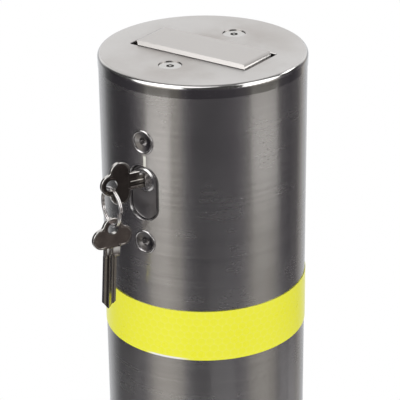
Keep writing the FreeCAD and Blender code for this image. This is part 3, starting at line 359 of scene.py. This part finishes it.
# The post: a round tube of stainless steel, ground all the way round with a fine belt, so that its lines
# run around it. The lock's oval window, which points left of the front by the yaw, and the screw holes are
# cut through its wall. A painted highlight streaks down above the window, a painted shade lines the
# window's right edge, and small nicks mark it.
TUBE_RADIUS = 0.05715
TUBE_COLOUR = (0.600, 0.586, 0.578)
TUBE_LINES = (26, 26, 3600)
CUT_WALL_SHADE = (0.32, 0.31, 0.32, 1)
CUT_LIP_HIGHLIGHT = (0.92, 0.91, 0.89, 1)
CUT_LIP_HIGHLIGHT_FROM = (0.0561, 0.0564)
STREAK_HIGHLIGHT = (0.93, 0.91, 0.83, 1)
STREAK_SIDE = 0.0017
STREAK_HALF_WIDTH = (0.00065, 0.00110)
STREAK_BOTTOM = (1.0995, 1.1015)
STREAK_TOP = (1.1065, 1.1080)
LOCK_YAW = math.radians(26.0)
LOCK_OUT = Vector((-math.sin(LOCK_YAW), -math.cos(LOCK_YAW), 0.0))
LOCK_RIGHT = Vector((math.cos(LOCK_YAW), -math.sin(LOCK_YAW), 0.0))
LOCK_FACE = Vector((-0.00054, -0.05689, 1.0927))
WINDOW_STRAIGHT = 0.0149
WINDOW_RADIUS = 0.0085
WINDOW_SHADE_COLOUR = (0.05, 0.048, 0.05, 1)
WINDOW_SHADE_WIDTH = (0.0005, 0.0009)
WINDOW_SHADE_FROM = (0.003, 0.006)
NICK_COLOUR = (0.10, 0.09, 0.09, 1)
NICKS = (420, 420, 1500)
NICKS_FROM = (0.70, 0.74)
NICKED_CLOUDS = (0.50, 0.60)
BROAD_LINES_SHARE = 0.12
CLOUDS = 38.0
TONE_SPREAD = 0.14


def finish_node(name, material):
    """Gives a CAD node its finish; it keeps the shape that the CAD gave it."""
    slots = nodes[name].data.materials
    slots.clear()
    slots.append(material)


class GroundSteel(Finish):
    """Ground or brushed metal. Lines is how often the scratches repeat along x, y and z, per metre, and
    contrast is how much they differ in tone. Broader lines and faint clouds lie over them."""

    def __init__(self, name, lines, colour, contrast=0.12):
        super().__init__(bpy.data.materials.new(name))
        self.fine = self.noise(self.place(*lines), 1.0, 3.0, 0.6)
        self.broad = self.noise(self.place(*[BROAD_LINES_SHARE * step for step in lines]), 1.0, 2.0)
        self.clouds = self.noise(self.place(), CLOUDS, 3.0)
        line_tone = (self.fine - 0.5) * contrast + (self.broad - 0.5) * contrast
        dark = tuple((1 - TONE_SPREAD) * part for part in colour) + (1,)
        light = tuple(min(1.0, (1 + TONE_SPREAD) * part) for part in colour) + (1,)
        self.colour = self.mix_colours(line_tone + (self.clouds - 0.5) * 0.08 + 0.5, dark, light)

    def cover(self, amount, colour):
        self.colour = self.mix_colours(amount, self.colour, colour)

    def paint_edge_shading(self, face_way, colour):
        """Paints bevels and sockets, which turn away from the piece's flat face, in the colour given: a
        painted highlight where that colour is lighter than the piece and a painted shade where it is darker.
        """
        self.cover(1 - self.facing(face_way).above(0.80, 0.92), colour)

    def finished(self, roughness, depth, metallic=1.0, anisotropy=0.0, turned=0.0, crisp=False):
        """The material. Depth is how deep the scratches are, turned is the way that the shine is drawn out,
        as a share of a turn, and a crisp material keeps flat faces flat."""
        normal = self.node("ShaderNodeNewGeometry", output="True Normal") if crisp else None
        return self.surface(
            Base_Color=self.colour,
            Metallic=metallic,
            Roughness=roughness + (self.clouds - 0.5) * 0.10 + (self.broad - 0.5) * 0.05,
            Anisotropic=anisotropy,
            Anisotropic_Rotation=turned,
            Normal=self.bump(self.fine + self.broad, depth, normal),
        )


tube = GroundSteel("tube_steel", TUBE_LINES, TUBE_COLOUR, contrast=0.60)
outward = tube.node("ShaderNodeVectorMath", {"operation": "NORMALIZE"}, {0: tube.place(1, 1, 0)})
# Painted shade on the walls of the cuts and the bore, and a painted highlight on the cuts' outer lip.
cut_shade_and_highlight = tube.mix_colours(tube.from_axis().above(*CUT_LIP_HIGHLIGHT_FROM), CUT_WALL_SHADE, CUT_LIP_HIGHLIGHT)
tube.cover(1 - tube.facing(outward).above(0.80, 0.95), cut_shade_and_highlight)

x, y, z = tube.axes(tube.place())
from_front = x.maths("ARCTAN2", y * -1) * TUBE_RADIUS
# Painted highlight: a short bright streak above the window, less metallic than the tube.
painted_streak = (1 - abs(from_front - STREAK_SIDE).above(*STREAK_HALF_WIDTH)) * z.between(STREAK_BOTTOM, STREAK_TOP)
tube.cover(painted_streak, STREAK_HIGHLIGHT)

# Painted shade: a dark line on the tube along the window's right edge.
from_lock = tube.from_point(LOCK_FACE)
beside = tube.along(from_lock, LOCK_RIGHT)
level = tube.axes(from_lock)[2]
past_straight = level - level.maths("MINIMUM", 0.0).maths("MAXIMUM", -WINDOW_STRAIGHT)
from_window = (beside * beside + past_straight * past_straight) ** 0.5 - WINDOW_RADIUS
window_shade = (1 - from_window.above(*WINDOW_SHADE_WIDTH)) * beside.above(*WINDOW_SHADE_FROM)
tube.cover(window_shade * 0.9, WINDOW_SHADE_COLOUR)

nicks = tube.noise(tube.place(*NICKS), 1.0, 1.0).above(*NICKS_FROM) * tube.clouds.above(*NICKED_CLOUDS)
tube.cover(nicks * 0.55, NICK_COLOUR)
finish_node("post_tube", tube.finished(roughness=0.26, depth=0.0000006, metallic=1 - painted_streak * 0.75,
                                       anisotropy=0.75, turned=0.25))


# The reflective band: a strip of fluorescent yellow tape of tiny prisms under clear film, stuck around
# the tube. Its cells show as a faint net of six-sided fields, and a short stretch of its lower edge carries
# a painted highlight in white. Angles count round the post's axis from +X, in degrees.
BAND_RADIUS = 0.0575
TAPE_YELLOW = (0.960, 0.945, 0.030, 1)
TAPE_PALE = (0.980, 0.965, 0.140, 1)
TAPE_EDGE_HIGHLIGHT = (0.97, 0.97, 0.95, 1)
CELL_WIDTH = 0.0046
ROW_SHARE = 0.866
NET_LINE = (0.40, 0.52)
SMEARS = 70.0
EDGE_HIGHLIGHT_HEIGHT = (0.0009, 0.0013)
EDGE_HIGHLIGHT_START = (-90.6, -84.6)
EDGE_HIGHLIGHT_END = (-71.6, -61.6)

tape = Finish(bpy.data.materials.new("reflective_tape"))
x, y, z = tape.axes(tape.place())
round_angle = y.maths("ARCTAN2", x)
cells_round = round_angle * (BAND_RADIUS / CELL_WIDTH)
rows_up = z / (CELL_WIDTH * ROW_SHARE)


def from_cell(shift):
    """How far a point is from the middle of the nearest cell, in cell widths. The cells stand in two
    grids, half a cell and one row apart, and the shift of 0 or 0.5 chooses one."""
    beside_cell = (cells_round + shift).maths("FRACT") - 0.5
    above_cell = (((rows_up + 2 * shift) * 0.5).maths("FRACT") - 0.5) * (2 * ROW_SHARE)
    return (beside_cell * beside_cell + above_cell * above_cell) ** 0.5


net = from_cell(0.0).maths("MINIMUM", from_cell(0.5)).above(*NET_LINE)
smears = tape.noise(tape.place(), SMEARS, 3.0)
printed = tape.mix_colours(net * 0.45 + (smears - 0.5) * 0.20 + 0.06, TAPE_YELLOW, TAPE_PALE)
tape_low, tape_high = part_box("reflective_band")
# Painted highlight: white along a short stretch of the tape's lower edge.
edge_highlight = 1 - (z - tape_low[2]).above(*EDGE_HIGHLIGHT_HEIGHT)
edge_highlight = edge_highlight * (round_angle * (180 / math.pi)).between(EDGE_HIGHLIGHT_START, EDGE_HIGHLIGHT_END)
tape_finish = tape.surface(
    Base_Color=tape.mix_colours(edge_highlight, printed, TAPE_EDGE_HIGHLIGHT),
    Roughness=0.30 + (smears - 0.5) * 0.16,
    Coat_Weight=0.25,
    Normal=tape.bump(net, 0.00002),
)
finish_node("reflective_band", tape_finish)


# The cap: a thick stainless disc, satin on top with a few stains that grow darker toward its middle, partly
# real stains and partly a painted dark reflection, and polished on its rounded rim, where the turning lines
# run around it. A spigot under it fills the tube.
CAP_TOP = 1.150
CAP_REACH = 0.05745
RIM_FROM = (CAP_TOP - 0.0005, CAP_TOP - 0.0001)
TURNING_LINES = (30, 30, 2600)
CAP_GRAIN = (500, 500, 500)
SMUDGES = 24.0
CAP_CLEAN = (0.655, 0.643, 0.633, 1)
CAP_STAIN_AND_REFLECTION = (0.455, 0.420, 0.395, 1)

cap_metal = Finish(bpy.data.materials.new("cap_steel"))
cap_height = cap_metal.axes(cap_metal.place())[2]
polished = 1 - cap_height.above(*RIM_FROM)
turning_lines = cap_metal.noise(cap_metal.place(*TURNING_LINES), 1.0, 3.0, 0.6)
grain = cap_metal.noise(cap_metal.place(*CAP_GRAIN), 1.0, 3.0, 0.6)
smudges = cap_metal.noise(cap_metal.place(), SMUDGES, 3.0)
# Stains from the smudges, darkened toward the middle of the top as a painted reflection.
to_rim = (cap_metal.from_axis() / CAP_REACH) ** 2
stain_and_reflection = (smudges.above(0.34, 0.66) * 0.7 + 0.35) * (1.0 - to_rim * 0.6)
cap_steel = cap_metal.surface(
    Base_Color=cap_metal.mix_colours(stain_and_reflection * (1 - polished) + (grain - 0.5) * 0.2, CAP_CLEAN, CAP_STAIN_AND_REFLECTION),
    Metallic=1.0,
    Roughness=0.30 + stain_and_reflection * 0.04 - polished * 0.19 + (turning_lines - 0.5) * polished * 0.10,
    Normal=cap_metal.bump(turning_lines * polished * 0.7 + grain * (1 - polished), 0.000003),
)
finish_node("cap_plate", cap_steel)


# The cap's screws: two countersunk screws of stainless steel with a pin in their sockets, which hold the
# cap to the lugs in the tube.
screw_steel = GroundSteel("screw_steel", (900, 900, 900), (0.60, 0.59, 0.575))
finish_node("cap_screws", screw_steel.finished(roughness=0.18, depth=0.000002))


# The lifting handle: an upside-down U of flat bar, welded and ground, whose back stands a little proud of
# the cap.
handle_steel = GroundSteel("handle_steel", (500, 500, 500), (0.535, 0.512, 0.495))
finish_node("lift_handle", handle_steel.finished(roughness=0.24, depth=0.000003))


# The lock: an oval cylinder of chromed brass with a round plug for the key. Its face is flat, lies a little
# inside the tube's window and is turned slightly further left than the key. Two countersunk screws through
# the tube's wall hold the lock's case.
LOCK_FACE_WAY = Matrix.Rotation(math.radians(-5.0), 3, "Z") @ LOCK_OUT
SIDE_SCREW_WAY = Vector((0.0, -1.0, 0.0))

lock_metal = GroundSteel("lock_metal", (600, 600, 600), (0.345, 0.333, 0.340))
# Painted shade: the oval cylinder's side walls darker than its face.
lock_metal.paint_edge_shading(LOCK_FACE_WAY, (0.27, 0.26, 0.26, 1))
finish_node("oval_cylinder", lock_metal.finished(roughness=0.33, depth=0.000002, crisp=True))
plug_metal = GroundSteel("plug_metal", (600, 600, 600), (0.54, 0.53, 0.55))
# Painted highlight: the plug's bevels lighter than its face.
plug_metal.paint_edge_shading(LOCK_FACE_WAY, (0.62, 0.61, 0.60, 1))
finish_node("lock_plug", plug_metal.finished(roughness=0.20, depth=0.000002, crisp=True))
# The side screws' heads are painted darker than the cap's screws, a painted dark reflection.
side_screw_steel = GroundSteel("side_screw_steel", (900, 900, 900), (0.30, 0.29, 0.29))
# Painted highlight: the screws' lips and sockets lighter than their heads.
side_screw_steel.paint_edge_shading(SIDE_SCREW_WAY, (0.72, 0.70, 0.70, 1))
finish_node("side_screws", side_screw_steel.finished(roughness=0.18, depth=0.000002))


# The keys: two flat keys, stamped and milled from nickelled steel. The pressed fields of their bows are
# painted dark with stains, a painted dark reflection. Their edges and the edges of their grooves carry
# painted highlights, and the borders of the fields are rubbed bright with a painted highlight on them too.
# Places on a key are in metres from its eye, along it, where the blade is on the minus side, and across it.
KEY_EYE = Vector((-0.00865, -0.07352, 1.0938))
SPARE_EYE = KEY_EYE - Vector((0, 0, 0.0250))
SPARE_TWIST = math.radians(5.0)
SPARE_LEAN = math.radians(-3.5)
ROUND_END_RADIUS = 0.0061
LOBE_RADIUS = 0.0059
LOBE_ALONG = -0.0054
LOBE_ACROSS = 0.0063
MIDDLE_END = 0.003
BOW_END = -0.0110
BORDER_START = (0.0007, 0.00085)
BORDER_END = (0.0010, 0.00115)
NECK_START = (-0.0095, -0.0090)
NECK_SIDE = (0.0008, 0.0016)
BLADE_OFFSET = -0.0011
BLADE_ROOT = (-0.0165, -0.0120)
BLADE_WORN_FROM = (-0.0180, -0.0140)
GROOVE_EDGES = {-0.00235: 0.12, -0.00085: 0.10, 0.00085: 0.80, 0.00235: 0.15}
GROOVE_EDGE_HALF_WIDTH = (0.00018, 0.00034)
GROOVE_START = (-0.0025, -0.0023)
GROOVE_END = (-0.0010, -0.0008)
SHOULDER_FROM = (0.0016, 0.0020)
FLANK_START = -0.0004
FLANK_WIDTH = 0.0017
FLANK_SLOPE = 0.6
FIELD_DARK = (0.060, 0.050, 0.050)
FIELD_LIGHT = (0.130, 0.112, 0.105)
WEAR_AND_HIGHLIGHT_DULL = (0.62, 0.60, 0.58, 1)
WEAR_AND_HIGHLIGHT_BRIGHT = (0.78, 0.76, 0.73, 1)
BLADE_WORN = (0.40, 0.37, 0.34, 1)
GROOVE_DARK = (0.045, 0.036, 0.034, 1)


def field_border(along, across):
    """1 on the border of the bow's pressed field, which follows the bow's outline: a round end about the
    eye, two round lobes and the part between them. The border fades at the neck."""
    inside = ROUND_END_RADIUS - (along * along + across * across) ** 0.5
    for lobe_across in (-LOBE_ACROSS, LOBE_ACROSS):
        off_along = along - LOBE_ALONG
        off_across = across - lobe_across
        in_lobe = LOBE_RADIUS - (off_along * off_along + off_across * off_across) ** 0.5
        inside = inside.maths("MAXIMUM", in_lobe)
    from_side = LOBE_ACROSS - abs(across)
    from_ends = (along - BOW_END).maths("MINIMUM", MIDDLE_END - along)
    inside = inside.maths("MAXIMUM", from_ends.maths("MINIMUM", from_side))
    at_neck = (1 - along.above(*NECK_START)) * from_side.above(*NECK_SIDE)
    return inside.between(BORDER_START, BORDER_END) * (1 - at_neck * 0.85)


def key_finish(name, eye, along_way, thickness_way, tone, shine):
    """Nickelled steel, painted dark on its flat faces as a dark reflection and painted bright on its edges
    and groove edges as highlights, with rubbed wear on the field's border. Tone lightens the faces as
    painted light, and shine paints highlights on the root of the blade and the slanting flank of its groove."""
    metal = Finish(bpy.data.materials.new(name))
    grain = metal.noise(metal.place(800, 800, 800), 1.0, 3.0, 0.6)
    stains = metal.noise(metal.place(), 160.0, 3.0)
    from_eye = metal.from_point(eye)
    along = metal.along(from_eye, along_way)
    across = metal.along(from_eye, along_way.cross(thickness_way))
    beside_blade = across - BLADE_OFFSET
    on_blade = 1 - along.above(BOW_END - 0.0005, BOW_END)
    at_root = along.above(*BLADE_ROOT)

    groove = beside_blade.between(GROOVE_START, GROOVE_END)
    shoulder = beside_blade.above(*SHOULDER_FROM)
    flank_depth = (beside_blade - FLANK_START).maths("MAXIMUM", 0.0).maths("MINIMUM", FLANK_WIDTH)
    # Painted dark reflection on the flat faces, mottled by stains and lightened by the tone.
    field = metal.mix_colours(stains, [part * tone for part in FIELD_DARK] + [1],
                              [part * tone for part in FIELD_LIGHT] + [1])
    dark_faces_and_wear = metal.mix_colours(1 - along.above(*BLADE_WORN_FROM), field, BLADE_WORN)
    # The blade's lower groove is painted darker, away from the blade's root.
    dark_faces_and_wear = metal.mix_colours(groove * (1 - at_root) * 0.85, dark_faces_and_wear, GROOVE_DARK)

    # Painted highlight on the edges, which turn away from the flat faces.
    edge = 1 - abs(metal.facing(thickness_way)).above(0.84, 0.97)
    # The field's border: rubbed wear with a painted highlight; the groove edges: painted highlights.
    wear_and_highlight = field_border(along, across)
    for groove_edge, highlight_share in GROOVE_EDGES.items():
        on_edge = 1 - abs(beside_blade - groove_edge).above(*GROOVE_EDGE_HALF_WIDTH)
        wear_and_highlight = wear_and_highlight.maths("MAXIMUM", on_edge * on_blade * highlight_share)
    # Painted highlights on the slanting flank of the blade's groove and on the blade's root, where shine is
    # given.
    flank = flank_depth.between((0.0, 0.0002), (FLANK_WIDTH - 0.0001, FLANK_WIDTH)) * on_blade * shine
    root = groove.maths("MAXIMUM", shoulder) * on_blade * at_root * shine
    bright = edge.maths("MAXIMUM", wear_and_highlight * 0.7).maths("MAXIMUM", flank).maths("MAXIMUM", root)
    return metal.surface(
        Base_Color=metal.mix_colours(bright, dark_faces_and_wear, metal.mix_colours(stains, WEAR_AND_HIGHLIGHT_DULL, WEAR_AND_HIGHLIGHT_BRIGHT)),
        Metallic=1.0 - root * 0.6,
        Roughness=0.24 - edge * 0.08 + (stains - 0.5) * 0.14,
        Normal=metal.bump(grain * 0.000002 - flank_depth * on_blade * (shine * FLANK_SLOPE), 1.0),
    )


# The keys are one steel; the spare's lighter tone and its shine are painted light.
finish_node("key_in_lock", key_finish("key_metal", KEY_EYE, LOCK_OUT, LOCK_RIGHT, tone=1.0, shine=0.0))
spare_thickness = Matrix.Rotation(SPARE_TWIST, 3, "Z") @ LOCK_RIGHT
spare_along = Matrix.Rotation(SPARE_LEAN, 3, spare_thickness) @ Vector((0, 0, 1))
spare_metal = key_finish("spare_key_metal", SPARE_EYE, spare_along, spare_thickness, tone=2.3, shine=1.0)
finish_node("spare_key", spare_metal)


# The split ring: two turns of flattened spring steel wire, nickelled, which are sprung apart to thread the
# eyes of both keys onto them.
RING_RADIUS = 0.0104
RING_WIRE = (0.0014, 0.0008)
RING_CORNER = 0.00025
RING_TURNS = 2
RING_PITCH = 0.00092
SMOOTH_BELOW = math.radians(40)


def wind_coil(name, radius, wire, corner, turns, pitch, steps):
    """A coil wound about Z from wire of this width and height, with rounded corners and closed ends. Steps
    is how many pieces make a turn."""
    bpy.ops.object.select_all(action="DESELECT")
    bpy.ops.mesh.primitive_plane_add(size=1.0, location=(radius, 0, 0))
    coil = bpy.context.object
    coil.name = name
    coil.scale = (wire[0], wire[1], 1.0)
    coil.rotation_euler = (math.radians(90), 0, 0)
    bpy.ops.object.transform_apply(location=True, rotation=True, scale=True)
    bpy.ops.object.mode_set(mode="EDIT")
    bpy.ops.mesh.select_all(action="SELECT")
    bpy.ops.mesh.bevel(offset=corner, segments=3, affect="VERTICES")
    bpy.ops.mesh.delete(type="ONLY_FACE")
    bpy.ops.object.mode_set(mode="OBJECT")
    winding = coil.modifiers.new("winding", "SCREW")
    winding.axis = "Z"
    winding.angle = turns * math.tau
    winding.screw_offset = turns * pitch
    winding.steps = winding.render_steps = turns * steps
    winding.use_merge_vertices = True
    bpy.ops.object.modifier_apply(modifier="winding")
    bpy.ops.object.mode_set(mode="EDIT")
    bpy.ops.mesh.select_all(action="DESELECT")
    bpy.ops.mesh.select_non_manifold(extend=False)
    bpy.ops.mesh.edge_face_add()
    bpy.ops.mesh.select_all(action="SELECT")
    bpy.ops.mesh.normals_make_consistent(inside=False)
    bpy.ops.object.mode_set(mode="OBJECT")
    return coil


def set_in_place(coil, place, material):
    """Moves the selected coil's mesh to its place, smooths it and gives it its material."""
    coil.matrix_world = place
    bpy.ops.object.transform_apply(location=True, rotation=True, scale=True)
    bpy.ops.object.shade_smooth_by_angle(angle=SMOOTH_BELOW)
    coil.data.materials.append(material)


ring_steel = GroundSteel("ring_metal", (500, 500, 500), (0.86, 0.83, 0.82))
ring_metal = ring_steel.finished(roughness=0.16, depth=0.000001)
ring_low, ring_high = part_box("key_ring")
ring_middle = (Vector(ring_low) + Vector(ring_high)) / 2
ring_turn = Matrix((LOCK_RIGHT, LOCK_OUT.cross(LOCK_RIGHT), LOCK_OUT)).transposed().to_4x4()
split_ring = wind_coil("split_ring", RING_RADIUS, RING_WIRE, RING_CORNER, RING_TURNS, RING_PITCH, steps=72)
set_in_place(split_ring, Matrix.Translation(ring_middle - LOCK_OUT * RING_PITCH) @ ring_turn, ring_metal)
finish_node("key_ring", ring_metal)
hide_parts("key_ring")
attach(split_ring, "ring")


# The return spring: coiled from round spring steel wire, between the collar on the rod and the lower bush.
# Its lower end goes up with the rod while its upper end stays, so it shortens when the handle is raised;
# here it is wound at one length and does not move.
SPRING_TURNS = 9
SPRING_WIRE = 0.0024
SPRING_CORNER = 0.0008

spring_low, spring_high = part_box("return_spring")
spring_radius = (spring_high[0] - spring_low[0] - SPRING_WIRE) / 2
spring_pitch = (spring_high[2] - spring_low[2] - SPRING_WIRE) / SPRING_TURNS
spring_foot = Vector((0, 0, spring_low[2] + SPRING_WIRE / 2))
spring_wire = GroundSteel("spring_steel", (700, 700, 700), (0.42, 0.415, 0.41))
spring_steel = spring_wire.finished(roughness=0.30, depth=0.000002)
coil_spring = wind_coil("coil_spring", spring_radius, (SPRING_WIRE, SPRING_WIRE), SPRING_CORNER,
                        SPRING_TURNS, spring_pitch, steps=36)
set_in_place(coil_spring, Matrix.Translation(spring_foot), spring_steel)
finish_node("return_spring", spring_steel)
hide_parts("return_spring")
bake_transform(coil_spring)


# The inner parts of the lock, the handle and the foot: turned and milled from plain steel. They show only
# when the post is opened, apart from the ends of the foot bolts and the foot plug.
machined_steel = GroundSteel("machined_steel", (900, 900, 900), (0.52, 0.515, 0.51))
machined = machined_steel.finished(roughness=0.34, depth=0.000002)
for name in ("cap_lug_front", "cap_lug_rear", "lock_cam", "lock_case", "handle_crosshead", "lift_rod",
             "locking_disc", "bolt_cam_plate", "foot_bolt_left", "foot_bolt_right", "foot_plug",
             "bolt_carrier", "guide_channel_left", "guide_channel_right", "upper_guide_plate",
             "lower_guide_plate", "rod_clevis", "spring_collar"):
    finish_node(name, machined)


# The inner screws, nuts, pins and the spacer: bought parts of zinc plated steel, which hold the lock, the
# handle, the rod, the bolts and the foot plug together.
zinc_steel = GroundSteel("zinc_steel", (700, 700, 700), (0.60, 0.60, 0.61))
zinc_plated = zinc_steel.finished(roughness=0.30, depth=0.000002)
for name in ("crosshead_screws", "channel_screws", "rod_nuts", "cam_screw", "collar_pin", "clevis_pin",
             "bolt_pin_left", "bolt_pin_right", "carrier_screws", "foot_plug_screws", "disc_spacer"):
    finish_node(name, zinc_plated)


# The guide bushes: two flanged bushes moulded from black nylon and pressed into the guide plates. The
# lifting rod slides in them.
NYLON_DARK = (0.05, 0.05, 0.052, 1)
NYLON_PALE = (0.075, 0.075, 0.078, 1)
SPECKLES = 900.0

nylon = Finish(bpy.data.materials.new("nylon"))
speckle = nylon.noise(nylon.place(), SPECKLES, 3.0)
bush_nylon = nylon.surface(
    Base_Color=nylon.mix_colours(speckle, NYLON_DARK, NYLON_PALE),
    Roughness=0.45,
    Normal=nylon.bump(speckle, 0.00001),
)
finish_node("upper_guide_bush", bush_nylon)
finish_node("lower_guide_bush", bush_nylon)
